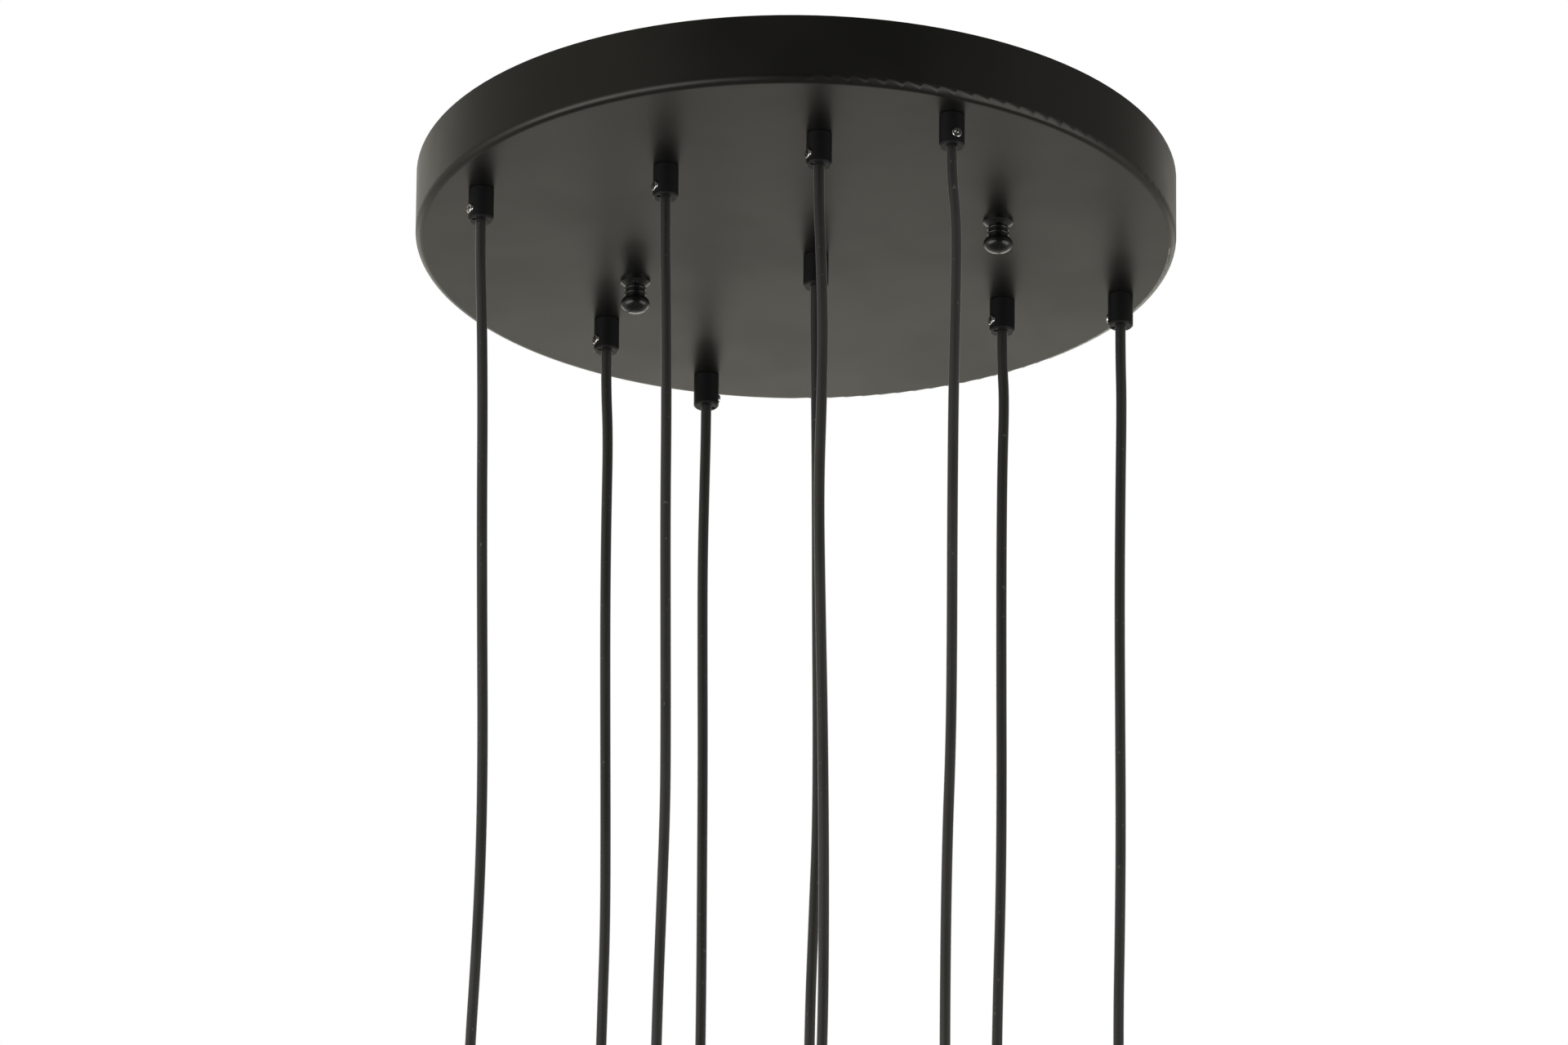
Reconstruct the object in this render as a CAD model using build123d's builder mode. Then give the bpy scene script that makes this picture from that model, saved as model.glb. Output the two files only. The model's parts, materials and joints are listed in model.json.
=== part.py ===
from build123d import *
import os
from math import cos, pi, radians, sin, sqrt, tan

# Cluster pendant: a round ceiling pan, nine cord grips, nine hanging cords and nine
# plain lamp heads. Millimetres, +Z up. The origin is on the ceiling, above the middle
# of the pan.

os.makedirs("parts", exist_ok=True)

# Ceiling pan
pan_diameter = 450.0
pan_height = 42.0
pan_sheet = 1.2
pan_edge_radius = 4.5

# The outlets lie within a circle this far inside the pan's edge
outlet_margin = 18.0

# The bracket's middle lies beside the pan's own
pattern_x = 12.0
pattern_y = 10.0
bracket_turn = -22.6

# Ceiling bracket, in its own directions: t along the strip, n across it
bracket_width = 32.0
bracket_sheet = 2.0
bracket_end_radius = 8.0
stud_spread = 232.0
stud_edge = 11.0
joggle_depth = 4.0
joggle_run = 7.0
joggle_bend = 1.5
joggle_t = 96.0
ceiling_hole_spread = 50.0
ceiling_hole_diameter = 5.5
supply_hole_diameter = 14.0
supply_hole_t = 50.0

# Long screws that carry the pan, and their nuts
stud_diameter = 5.0
stud_clearance = 0.25
stud_head_diameter = 9.5
stud_head_height = 3.0
stud_head_edge = 1.0
stud_nut_flats = 8.0
stud_nut_height = 4.0
finial_engagement = 13.0
thread_clearance = 0.1

# Turned finial nuts
finial_flange_diameter = 17.6
finial_flange_height = 3.0
finial_neck_diameter = 11.6
finial_ring_diameter = 13.2
finial_ring_height = 1.8
finial_ring_depths = (5.4, 8.6)
finial_ball_diameter = 17.4
finial_ball_height = 10.8
finial_ball_depth = 14.9
finial_bore_depth = 15.0

# Cords
cord_diameter = 6.2

# Cord grips
grip_diameter = 15.0
grip_length = 20.0
grip_edge = 0.9
grip_foot_diameter = 13.8
grip_foot_height = 0.5
grip_bore_clearance = 0.2
shank_diameter = 9.8
shank_length = 8.5
outlet_clearance = 0.2
locknut_flats = 14.0
locknut_height = 3.5
notch_width = 2.0
notch_depth = 2.5
notch_reach = 2.6

# Cross-slot screws in the grips
set_screw_diameter = 4.0
set_screw_head_diameter = 6.0
set_screw_head_height = 1.8
set_screw_head_edge = 0.7
set_screw_seat = 6.5
set_screw_height = 6.2
set_screw_clearance = 0.1
cross_width = 1.1
cross_length = 4.2
cross_depth = 1.2

# Terminal block under the bracket
block_length = 58.0
block_width = 22.0
block_height = 14.0
block_t = -63.0
block_edge = 1.0
port_pitch = 12.0
port_rise = 5.0
end_terminal_inset = 8.0
terminal_n = 6.6
terminal_head_diameter = 5.2
terminal_head_height = 2.2
terminal_recess = 3.0
terminal_shank_diameter = 3.0
terminal_shank_length = 4.0
recess_clearance = 0.2
block_screw_spread = 24.0
block_screw_diameter = 3.0

# Earth bond between bracket and pan
earth_t = 72.0
earth_wire_diameter = 2.4
earth_eye_diameter = 13.0
earth_eye_sheet = 1.0
earth_screw_diameter = 4.0
earth_head_flats = 8.0
earth_head_height = 3.0
earth_wire_clearance = 0.5
earth_wire_standoff = 0.05
earth_wire_dip = 0.1
earth_wire_slant_run = 15.0
earth_pin_length = 7.0
earth_pan_t = 82.0
earth_pan_n = -52.0

# Lamp heads, measured down from the face where the cord goes in
nipple_diameter = 10.0
nipple_height = 5.0
cover_diameter = 42.0
cover_sheet = 1.2
cover_crown_diameter = 18.0
cover_length = 51.0
holder_diameter = 35.0
skirt_diameter = 41.6
skirt_height = 6.0
skirt_edge = 1.0
socket_diameter = 27.5
socket_depth = 26.0
bulb_cap_diameter = 26.2
bulb_cap_wall = 0.8
bulb_cap_edge = 2.4
bulb_cap_end = 3.2
bulb_cap_length = 24.0
bulb_neck_diameter = 26.4
bulb_globe_diameter = 60.0
bulb_length = 104.0
bulb_neck_blend = 22.0
bulb_glass = 0.9

# Every pendant: where it leaves the pan, as a share of the way out to the outlets'
# circle and a bearing from +X, which way its clamping screw faces, and the route of
# its cord from the grip down to its head, as (x, y) off plumb and depth
pendants = {
    1: dict(reach=0.9585, bearing=-158.82, screw=-150.0, route=(
        (0, 0, 0), (0, 0, 24), (1.6, 0.4, 62), (2.9, -0.4, 122), (3.5, 0.5, 188),
        (4.8, 0.9, 262), (6.3, 0.2, 336), (6.4, -0.6, 400), (4.7, -0.3, 462),
        (2.0, 0.2, 520), (1.2, 0.2, 554), (1.2, 0.2, 578))),
    2: dict(reach=0.6296, bearing=-125.95, screw=-150.0, route=(
        (0, 0, 0), (0, 0, 26), (1.1, 0.5, 70), (2.0, 0.3, 138), (2.1, -0.5, 200),
        (2.9, -0.7, 266), (3.8, 0.3, 340), (4.0, 0.9, 388), (2.6, 0.5, 446),
        (1.0, -0.4, 508), (-0.2, -0.8, 590), (0.3, -0.1, 664), (0.6, 0, 697),
        (0.6, 0, 722))),
    3: dict(reach=0.7351, bearing=-85.1, screw=-150.0, route=(
        (0, 0, 0), (0, 0, 22), (1.5, -0.3, 54), (3.2, 0.4, 104), (2.6, 0.8, 150),
        (1.3, 0.2, 206), (2.7, -0.6, 276), (4.8, -0.4, 360), (6.0, 0.4, 446),
        (6.2, 0.8, 526), (4.9, 0.3, 586), (3.9, 0, 626), (3.9, 0, 648))),
    4: dict(reach=0.9666, bearing=-63.27, screw=-68.0, route=(
        (0, 0, 0), (0, 0, 18), (2.9, 0.3, 46), (3.0, 0.2, 82), (1.6, -0.5, 150),
        (1.2, -0.2, 236), (1.3, 0.6, 316), (0.9, 0.4, 376), (-1.0, -0.3, 440),
        (-1.8, -0.6, 520), (-1.7, 0.2, 612), (-0.6, 0.6, 700), (0.2, 0.1, 762),
        (0.2, 0.1, 798))),
    5: dict(reach=0.7652, bearing=135.26, screw=-150.0, route=(
        (0, 0, 0), (0, 0, 22), (1.7, 0.4, 56), (1.3, -0.3, 108), (1.4, -0.6, 166),
        (2.2, 0.2, 232), (3.4, 0.6, 312), (3.9, 0.2, 372), (2.9, -0.5, 424),
        (1.6, -0.4, 500), (0.6, 0.3, 576), (0.2, 0.1, 638), (0.2, 0.1, 668))),
    6: dict(reach=0.9548, bearing=105.56, screw=25.0, route=(
        (0, 0, 0), (0, 0, 20), (-0.5, 0.3, 52), (-1.1, 0.5, 104), (-0.6, -0.4, 160),
        (0.3, -0.6, 232), (0.6, 0.3, 310), (0.9, 0.6, 388), (0.5, 0.1, 456),
        (0.1, -0.2, 510), (0.1, -0.2, 538))),
    7: dict(reach=0.1009, bearing=54.94, screw=70.0, route=(
        (0, 0, 0), (0, 0, 26), (0.8, -0.4, 72), (1.7, -0.2, 138), (2.3, 0.6, 212),
        (3.3, 0.7, 284), (3.4, -0.2, 350), (1.6, -0.8, 408), (-0.2, -0.3, 470),
        (-0.4, 0.6, 552), (0.5, 0.8, 636), (0.6, -0.2, 716), (-0.1, -0.4, 786),
        (-0.1, -0.4, 828))),
    8: dict(reach=0.7077, bearing=32.68, screw=-150.0, route=(
        (0, 0, 0), (0, 0, 20), (1.4, 0.3, 44), (0.3, -0.2, 88), (-0.1, -0.6, 148),
        (0.1, 0.3, 226), (0.5, 0.6, 300), (0.1, -0.1, 366), (-1.5, -0.7, 430),
        (-2.3, -0.2, 500), (-1.3, 0.5, 576), (0.1, 0.4, 650), (0.4, 0, 706),
        (0.4, 0, 738))),
    9: dict(reach=0.9933, bearing=19.76, screw=155.0, route=(
        (0, 0, 0), (0, 0, 20), (0.7, 0.3, 50), (-0.1, -0.4, 110), (-0.6, -0.5, 176),
        (-0.3, 0.4, 248), (0.1, 0.7, 322), (-0.4, 0.1, 386), (-1.4, -0.5, 444),
        (-1.2, -0.2, 500), (-0.8, 0.1, 532), (-0.8, 0.1, 558))),
}

# How each cord runs inside the pan, from above its grip to its port in the block, as
# (t, n) on the bracket: the last point but one is in line with the port
tail_bend = 13.0
south_stand = -30.0
north_stand = 30.0
tail_ways = {
    1: dict(port=-1.5, side=-1, via=((-1.5, south_stand),)),
    2: dict(port=-0.5, side=-1, via=((-0.5, south_stand),)),
    3: dict(port=0.5, side=-1, via=((0.5, south_stand),)),
    4: dict(port=1.5, side=-1, via=((1.5, south_stand),)),
    5: dict(port=-1.5, side=1, via=((-4.0, 46.0), (-1.5, 42.0))),
    6: dict(port=-0.5, side=1, via=((-0.5, 46.0),)),
    7: dict(port=0, side=0, via=((3.6, 0.0),)),
    8: dict(port=1.5, side=1, via=((1.5, north_stand),)),
    9: dict(port=0.5, side=1, via=((12.0, 122.0), (0.5, 36.0))),
}

# Worked out from the sizes above
pan_radius = pan_diameter / 2
outlets_radius = pan_radius - outlet_margin
grip_radius = grip_diameter / 2
shank_radius = shank_diameter / 2
cord_radius = cord_diameter / 2
stud_radius = stud_diameter / 2
plate_z = -pan_height
floor_z = plate_z + pan_sheet
mouth_z = plate_z - grip_length
shank_top_z = floor_z + shank_length
bracket_under_z = -bracket_sheet
bracket_end_z = -joggle_depth - bracket_sheet
bracket_half = stud_spread / 2 + stud_edge
stud_places = (-stud_spread / 2, stud_spread / 2)
block_under_z = bracket_under_z - block_height
port_z = block_under_z + port_rise
along = (cos(radians(bracket_turn)), sin(radians(bracket_turn)))
across = (-along[1], along[0])
for p in pendants.values():
    p["x"] = p["reach"] * outlets_radius * cos(radians(p["bearing"]))
    p["y"] = p["reach"] * outlets_radius * sin(radians(p["bearing"]))


def on_bracket(t, n):
    """The x and y of a point given along and across the bracket."""
    x = pattern_x + t * along[0] + n * across[0]
    y = pattern_y + t * along[1] + n * across[1]
    return x, y


def level(x, y, z, turn=0.0):
    """A level plane whose x direction is turned from the row's own."""
    heading = (cos(radians(turn)), sin(radians(turn)), 0)
    return Plane(origin=(x, y, z), x_dir=heading, z_dir=(0, 0, 1))


def upright(x, y, z, turn=0.0):
    """An upright plane: its x points along turn, and its y points up."""
    heading = (cos(radians(turn)), sin(radians(turn)), 0)
    facing = (sin(radians(turn)), -cos(radians(turn)), 0)
    return Plane(origin=(x, y, z), x_dir=heading, z_dir=facing)


def facing(x, y, z, turn):
    """An upright plane that looks out along turn."""
    heading = (cos(radians(turn)), sin(radians(turn)), 0)
    return Plane(origin=(x, y, z), x_dir=(0, 0, 1), z_dir=heading)


def plumb(x, y):
    """The upright axis through a point of the plan."""
    return Axis((x, y, 0), (0, 0, 1))


def bend_radii(points, ceiling=None):
    """The largest arc that each inner point of a route has room for."""
    radii = []
    for before, corner, after in zip(points, points[1:], points[2:]):
        run_in = Vector(corner) - Vector(before)
        run_out = Vector(after) - Vector(corner)
        half_turn = radians(run_in.get_angle(run_out)) / 2
        radius = 0.45 * min(run_in.length, run_out.length) / tan(half_turn)
        radii.append(radius if ceiling is None else min(radius, ceiling))
    return radii


def tube(points, radii, radius):
    """A round tube along straight runs joined by arcs, and the length of its path."""
    with BuildPart() as made:
        with BuildLine() as path:
            FilletPolyline(*points, radius=radii)
        spine = path.wires()[0]
        with BuildSketch(Plane(origin=spine @ 0, z_dir=spine % 0)):
            Circle(radius)
        sweep(path=spine)
    return made.part, spine.length


def save(part, name):
    """Names a finished piece and writes it to its file."""
    part.label = name
    export_step(part, f"parts/{name}.step")


# Ceiling pan: a pressed dish with its open side to the ceiling
with BuildPart() as canopy_pan:
    with BuildSketch(Plane.XZ) as pan_section:
        with BuildLine():
            Polyline(
                (0, floor_z),
                (0, plate_z),
                (pan_radius - pan_edge_radius, plate_z),
            )
            RadiusArc(
                (pan_radius - pan_edge_radius, plate_z),
                (pan_radius, plate_z + pan_edge_radius),
                -pan_edge_radius,
            )
            Polyline(
                (pan_radius, plate_z + pan_edge_radius),
                (pan_radius, 0),
                (pan_radius - pan_sheet, 0),
                (pan_radius - pan_sheet, plate_z + pan_edge_radius),
            )
            RadiusArc(
                (pan_radius - pan_sheet, plate_z + pan_edge_radius),
                (pan_radius - pan_edge_radius, floor_z),
                pan_edge_radius - pan_sheet,
            )
            Line((pan_radius - pan_edge_radius, floor_z), (0, floor_z))
        make_face()
    revolve(axis=Axis.Z)
    with BuildSketch(Plane.XY.offset(plate_z)):
        with Locations([(p["x"], p["y"]) for p in pendants.values()]):
            Circle(shank_radius + outlet_clearance)
        with Locations([on_bracket(t, 0) for t in stud_places]):
            Circle(stud_radius + stud_clearance)
    extrude(amount=pan_sheet, mode=Mode.SUBTRACT)
save(canopy_pan.part, "canopy_pan")

# Ceiling bracket: a strip whose ends step down, which leaves room for the screw heads
with BuildPart() as mounting_bracket:
    with BuildSketch(upright(pattern_x, pattern_y, -bracket_sheet / 2, bracket_turn)):
        with BuildLine():
            FilletPolyline(
                (-bracket_half, -joggle_depth),
                (-joggle_t - joggle_run, -joggle_depth),
                (-joggle_t, 0),
                (joggle_t, 0),
                (joggle_t + joggle_run, -joggle_depth),
                (bracket_half, -joggle_depth),
                radius=joggle_bend,
            )
        trace(line_width=bracket_sheet)
    extrude(amount=bracket_width / 2, both=True)
    with BuildSketch(level(pattern_x, pattern_y, 0, bracket_turn)):
        RectangleRounded(2 * bracket_half, bracket_width, bracket_end_radius)
    extrude(amount=bracket_end_z, mode=Mode.INTERSECT)
    with BuildSketch(level(pattern_x, pattern_y, 0, bracket_turn)):
        with Locations((-ceiling_hole_spread / 2, 0), (ceiling_hole_spread / 2, 0)):
            Circle(ceiling_hole_diameter / 2)
        with Locations((supply_hole_t, 0)):
            Circle(supply_hole_diameter / 2)
        with Locations([(t, 0) for t in stud_places]):
            Circle(stud_radius + stud_clearance)
        with Locations((earth_t, 0)):
            Circle(earth_screw_diameter / 2 + thread_clearance)
        with Locations((block_t, 0)):
            with GridLocations(block_screw_spread, 0, 2, 1):
                Circle(block_screw_diameter / 2 + thread_clearance)
    extrude(amount=bracket_end_z, mode=Mode.SUBTRACT)
save(mounting_bracket.part, "mounting_bracket")

# Long screws that hang from the bracket ends and carry the pan
stud_length = pan_height - joggle_depth + finial_engagement
with BuildPart() as mounting_studs:
    with BuildSketch(level(pattern_x, pattern_y, -joggle_depth, bracket_turn)):
        with Locations([(t, 0) for t in stud_places]):
            Circle(stud_radius)
    extrude(amount=-stud_length)
    with BuildSketch(level(pattern_x, pattern_y, -joggle_depth, bracket_turn)):
        with Locations([(t, 0) for t in stud_places]):
            Circle(stud_head_diameter / 2)
    extrude(amount=stud_head_height)
    fillet(mounting_studs.edges().group_by(Axis.Z)[-1], stud_head_edge)
save(mounting_studs.part, "mounting_studs")

with BuildPart() as stud_nuts:
    with BuildSketch(level(pattern_x, pattern_y, bracket_end_z, bracket_turn)):
        with Locations([(t, 0) for t in stud_places]):
            RegularPolygon(stud_nut_flats / 2, 6, major_radius=False)
            Circle(stud_radius + thread_clearance, mode=Mode.SUBTRACT)
    extrude(amount=-stud_nut_height)
save(stud_nuts.part, "stud_nuts")


def finial(t):
    """A turned nut: flange, neck with two rings, and a flattened ball."""
    x, y = on_bracket(t, 0)
    tip = finial_ball_depth + finial_ball_height / 2
    with BuildPart() as turned:
        with BuildSketch(upright(x, y, plate_z)):
            with BuildLine():
                Polyline(
                    (0, 0),
                    (finial_flange_diameter / 2, 0),
                    (finial_flange_diameter / 2, -finial_flange_height / 2),
                    (finial_neck_diameter / 2, -finial_flange_height - finial_ring_height / 2),
                    (finial_neck_diameter / 2, -finial_ball_depth),
                    (0, -finial_ball_depth),
                    close=True,
                )
            make_face()
            for depth in finial_ring_depths:
                with Locations((0, -depth)):
                    SlotOverall(finial_ring_diameter, finial_ring_height)
            with Locations((0, -finial_ball_depth)):
                Ellipse(finial_ball_diameter / 2, finial_ball_height / 2)
            Rectangle(
                finial_ball_diameter,
                2 * tip,
                align=(Align.MIN, Align.CENTER),
                mode=Mode.INTERSECT,
            )
        revolve(axis=plumb(x, y))
        with BuildSketch(level(x, y, plate_z)):
            Circle(stud_radius + thread_clearance)
        extrude(amount=-finial_bore_depth, mode=Mode.SUBTRACT)
    return turned.part


save(finial(-stud_spread / 2), "finial_left")
save(finial(stud_spread / 2), "finial_right")


def cord_grip(x, y, screw):
    """A round grip under the pan, its threaded shank through it, and its cord bore."""
    with BuildPart() as grip:
        with BuildSketch(level(x, y, mouth_z)):
            Circle(grip_radius)
        extrude(amount=grip_length - grip_foot_height)
        chamfer(grip.edges().group_by(Axis.Z)[0], grip_edge)
        with BuildSketch(level(x, y, plate_z - grip_foot_height)):
            Circle(grip_foot_diameter / 2)
        extrude(amount=grip_foot_height)
        with BuildSketch(level(x, y, plate_z)):
            Circle(shank_radius)
        extrude(amount=shank_top_z - plate_z)
        with BuildSketch(level(x, y, mouth_z)):
            Circle(cord_radius + grip_bore_clearance)
        extrude(amount=shank_top_z - mouth_z, mode=Mode.SUBTRACT)
        # the clamping screw's hole and the flat seat under its head
        with BuildSketch(facing(x, y, mouth_z + set_screw_height, screw)):
            Circle(set_screw_diameter / 2 + set_screw_clearance)
        extrude(amount=grip_diameter, mode=Mode.SUBTRACT)
        seat = facing(x, y, mouth_z + set_screw_height, screw).offset(set_screw_seat)
        with BuildSketch(seat):
            Circle(set_screw_head_diameter / 2 + recess_clearance)
        extrude(amount=grip_diameter, mode=Mode.SUBTRACT)
        # the small notch beside the cord, below the screw
        with BuildSketch(level(x, y, mouth_z, screw)):
            Rectangle(
                cord_radius + grip_bore_clearance + notch_reach,
                notch_width,
                align=(Align.MIN, Align.CENTER),
            )
        extrude(amount=notch_depth, mode=Mode.SUBTRACT)
    return grip.part


for number, p in pendants.items():
    save(cord_grip(p["x"], p["y"], p["screw"]), f"grip_{number}")

with BuildPart() as grip_locknuts:
    with BuildSketch(Plane.XY.offset(floor_z)):
        with Locations([(p["x"], p["y"]) for p in pendants.values()]):
            RegularPolygon(locknut_flats / 2, 6, major_radius=False)
            Circle(shank_radius + thread_clearance, mode=Mode.SUBTRACT)
    extrude(amount=locknut_height)
save(grip_locknuts.part, "grip_locknuts")


def clamping_screw(x, y, turn):
    """A screw in a grip: the shank ends just short of the cord, the head stands on its seat."""
    middle = facing(x, y, mouth_z + set_screw_height, turn)
    outward = Axis(middle.origin, middle.z_dir)
    with BuildPart() as screw:
        with BuildSketch(middle.offset(set_screw_seat)):
            Circle(set_screw_head_diameter / 2)
        extrude(amount=set_screw_head_height)
        fillet(screw.faces().sort_by(outward)[-1].edges(), set_screw_head_edge)
        with BuildSketch(middle.offset(cord_radius + set_screw_clearance)):
            Circle(set_screw_diameter / 2)
        extrude(amount=set_screw_seat - cord_radius - set_screw_clearance)
        with BuildSketch(middle.offset(set_screw_seat + set_screw_head_height - cross_depth)):
            Rectangle(cross_length, cross_width)
            Rectangle(cross_width, cross_length)
        extrude(amount=cross_depth, mode=Mode.SUBTRACT)
    return screw.part


with BuildPart() as set_screws:
    for p in pendants.values():
        add(clamping_screw(p["x"], p["y"], p["screw"]))
save(set_screws.part, "set_screws")

# Terminal block: cords come in along both sides and at one end, each at its own screw
terminal_places = []
for way in tail_ways.values():
    if way["side"]:
        terminal_places.append((block_t + way["port"] * port_pitch, way["side"] * terminal_n))
    else:
        terminal_places.append((block_t + block_length / 2 - end_terminal_inset, 0))
with BuildPart() as terminal_block:
    with BuildSketch(level(pattern_x, pattern_y, bracket_under_z, bracket_turn)):
        with Locations((block_t, 0)):
            Rectangle(block_length, block_width)
    extrude(amount=-block_height)
    chamfer(terminal_block.edges().group_by(Axis.Z)[0], block_edge)
    with BuildSketch(level(pattern_x, pattern_y, block_under_z, bracket_turn)):
        with Locations(terminal_places):
            Circle(terminal_head_diameter / 2 + recess_clearance)
        with Locations((block_t, 0)):
            with GridLocations(block_screw_spread, 0, 2, 1):
                Circle(terminal_head_diameter / 2 + recess_clearance)
    extrude(amount=terminal_recess, mode=Mode.SUBTRACT)
    with BuildSketch(level(pattern_x, pattern_y, block_under_z, bracket_turn)):
        with Locations(terminal_places):
            Circle(terminal_shank_diameter / 2 + thread_clearance)
    extrude(amount=terminal_recess + terminal_shank_length + thread_clearance, mode=Mode.SUBTRACT)
    with BuildSketch(level(pattern_x, pattern_y, block_under_z, bracket_turn)):
        with Locations((block_t, 0)):
            with GridLocations(block_screw_spread, 0, 2, 1):
                Circle(block_screw_diameter / 2 + thread_clearance)
    extrude(amount=block_height, mode=Mode.SUBTRACT)
save(terminal_block.part, "terminal_block")


def slotted_screws(places, diameter, length):
    """Round-headed screws in the block's recesses, each with one straight slot."""
    with BuildPart() as screws:
        seat_z = block_under_z + terminal_recess
        with BuildSketch(level(pattern_x, pattern_y, seat_z, bracket_turn)):
            with Locations(places):
                Circle(terminal_head_diameter / 2)
        extrude(amount=-terminal_head_height)
        with BuildSketch(level(pattern_x, pattern_y, seat_z, bracket_turn)):
            with Locations(places):
                Circle(diameter / 2)
        extrude(amount=length)
        slot_z = seat_z - terminal_head_height
        with BuildSketch(level(pattern_x, pattern_y, slot_z, bracket_turn)):
            with Locations(places):
                Rectangle(2 * terminal_head_diameter, cross_width)
        extrude(amount=cross_depth, mode=Mode.SUBTRACT)
    return screws.part


block_screw_places = [
    (block_t - block_screw_spread / 2, 0),
    (block_t + block_screw_spread / 2, 0),
]
block_screw_length = block_height - terminal_recess + bracket_sheet
save(
    slotted_screws(terminal_places, terminal_shank_diameter, terminal_shank_length),
    "terminal_screws",
)
save(
    slotted_screws(block_screw_places, block_screw_diameter, block_screw_length),
    "block_screws",
)


def tail_route(p, way):
    """From the grip's mouth up through its shank, then level to the block's port."""
    start = (p["x"], p["y"])
    points = [(*start, mouth_z), (*start, port_z)]
    for pitch_at, n in way["via"]:
        points.append((*on_bracket(block_t + pitch_at * port_pitch, n), port_z))
    if way["side"]:
        port = on_bracket(block_t + way["port"] * port_pitch, way["side"] * block_width / 2)
    else:
        port = on_bracket(block_t + block_length / 2, 0)
    points.append((*port, port_z))
    return points


with BuildPart() as cord_tails:
    for number, p in pendants.items():
        route = tail_route(p, tail_ways[number])
        add(tube(route, bend_radii(route, tail_bend), cord_radius)[0])
save(cord_tails.part, "cord_tails")

# Earth bond: a wire with an eye at each end, held by a screw and by a stud on the pan
eye_z = bracket_under_z - earth_eye_sheet / 2
pan_eye_z = floor_z + earth_eye_sheet / 2
earth_wire_radius = earth_wire_diameter / 2
earth_start = earth_head_flats / sqrt(3) + earth_wire_clearance
earth_high_z = bracket_under_z - earth_wire_radius - earth_wire_standoff
earth_low_z = floor_z + earth_wire_radius + earth_wire_standoff
earth_route = [
    (*on_bracket(earth_t, -earth_start), earth_high_z),
    (*on_bracket(earth_t, -bracket_width / 2), earth_high_z - earth_wire_dip),
    (*on_bracket(earth_t + earth_start / 2, -bracket_width), plate_z / 2),
    (*on_bracket(earth_pan_t, earth_pan_n + earth_wire_slant_run), earth_low_z + earth_wire_radius),
    (*on_bracket(earth_pan_t, earth_pan_n + earth_start), earth_low_z),
]
with BuildPart() as earth_wire:
    add(tube(earth_route, bend_radii(earth_route), earth_wire_radius)[0])
    eyes = ((earth_t, 0, eye_z), (earth_pan_t, earth_pan_n, pan_eye_z))
    for t, n, z in eyes:
        with BuildSketch(level(*on_bracket(t, n), z - earth_eye_sheet / 2)):
            Circle(earth_eye_diameter / 2)
        extrude(amount=earth_eye_sheet)
    for t, n, z in eyes:
        with BuildSketch(level(*on_bracket(t, n), z)):
            Circle(earth_screw_diameter / 2 + thread_clearance)
        extrude(amount=earth_wire_diameter, both=True, mode=Mode.SUBTRACT)
save(earth_wire.part, "earth_wire")

with BuildPart() as earth_screws:
    bracket_eye_under = bracket_under_z - earth_eye_sheet
    pan_eye_top = floor_z + earth_eye_sheet
    with BuildSketch(level(*on_bracket(earth_t, 0), bracket_eye_under)):
        Circle(earth_screw_diameter / 2)
    extrude(amount=earth_eye_sheet + bracket_sheet)
    with BuildSketch(level(*on_bracket(earth_t, 0), bracket_eye_under)):
        RegularPolygon(earth_head_flats / 2, 6, major_radius=False)
    extrude(amount=-earth_head_height)
    with BuildSketch(level(*on_bracket(earth_pan_t, earth_pan_n), floor_z)):
        Circle(earth_screw_diameter / 2)
    extrude(amount=earth_pin_length)
    with BuildSketch(level(*on_bracket(earth_pan_t, earth_pan_n), pan_eye_top)):
        RegularPolygon(earth_head_flats / 2, 6, major_radius=False)
    extrude(amount=earth_head_height)
save(earth_screws.part, "earth_screws")


def socket_cover(x, y, top):
    """A thin spun cup over the lampholder, hung on the lampholder's nipple."""
    crown = top - nipple_height
    outer = cover_diameter / 2
    bore = nipple_diameter / 2 + thread_clearance
    with BuildPart() as cover:
        with BuildSketch(level(x, y, crown)):
            Circle(outer)
        extrude(amount=-cover_length)
        shoulder = (cover_diameter - cover_crown_diameter) / 2
        fillet(cover.edges().group_by(Axis.Z)[-1], shoulder)
        offset(amount=-cover_sheet, openings=cover.faces().sort_by(Axis.Z)[0])
        with BuildSketch(level(x, y, crown)):
            Circle(bore)
        extrude(amount=-2 * cover_sheet, mode=Mode.SUBTRACT)
    return cover.part


def lampholder(x, y, top):
    """A moulded holder: nipple, body inside the cover, skirt below it, and its socket."""
    seat = top - nipple_height - cover_sheet
    rim = top - nipple_height - cover_length
    with BuildPart() as holder:
        with BuildSketch(level(x, y, seat)):
            Circle(holder_diameter / 2)
        extrude(amount=rim - seat)
        shoulder = (holder_diameter - cover_crown_diameter) / 2 + cover_sheet
        fillet(holder.edges().group_by(Axis.Z)[-1], shoulder)
        with BuildSketch(level(x, y, top)):
            Circle(nipple_diameter / 2)
        extrude(amount=seat - top)
        with BuildSketch(level(x, y, rim)):
            Circle(skirt_diameter / 2)
        extrude(amount=-skirt_height)
        chamfer(holder.edges().group_by(Axis.Z)[0], skirt_edge)
        with BuildSketch(level(x, y, rim - skirt_height)):
            Circle(socket_diameter / 2)
        extrude(amount=socket_depth, mode=Mode.SUBTRACT)
    return holder.part


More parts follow.
